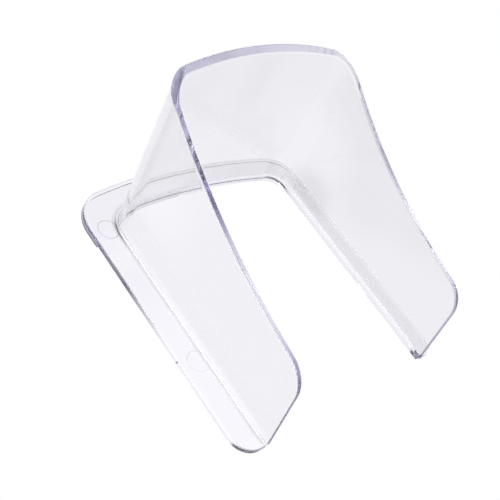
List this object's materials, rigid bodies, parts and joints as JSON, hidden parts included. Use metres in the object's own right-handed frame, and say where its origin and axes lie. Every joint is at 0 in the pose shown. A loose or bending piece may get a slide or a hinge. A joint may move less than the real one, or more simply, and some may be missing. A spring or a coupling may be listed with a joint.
{
  "type": "doorbell rain hood",
  "caption": "Clear moulded rain hood with an arched roof, leaning side walls and a flat U-shaped flange, stuck to a wall over a call button or keypad.",
  "frame": {"origin": "centre of the flange's outline on the mounting face", "axes": "+Z out of the wall, +Y from the open leg ends towards the roof, X across the hood"},
  "size_m": [0.116, 0.1165, 0.0704],
  "materials": {
    "clear_plastic": "clear, polished, faint violet cast at the edges",
    "clear_adhesive": "clear soft acrylic foam"
  },
  "bodies": {
    "root": {"hood": "clear_plastic", "adhesive_strip_left": "clear_adhesive", "adhesive_strip_right": "clear_adhesive", "adhesive_strip_top": "clear_adhesive"}
  },
  "joints": []
}
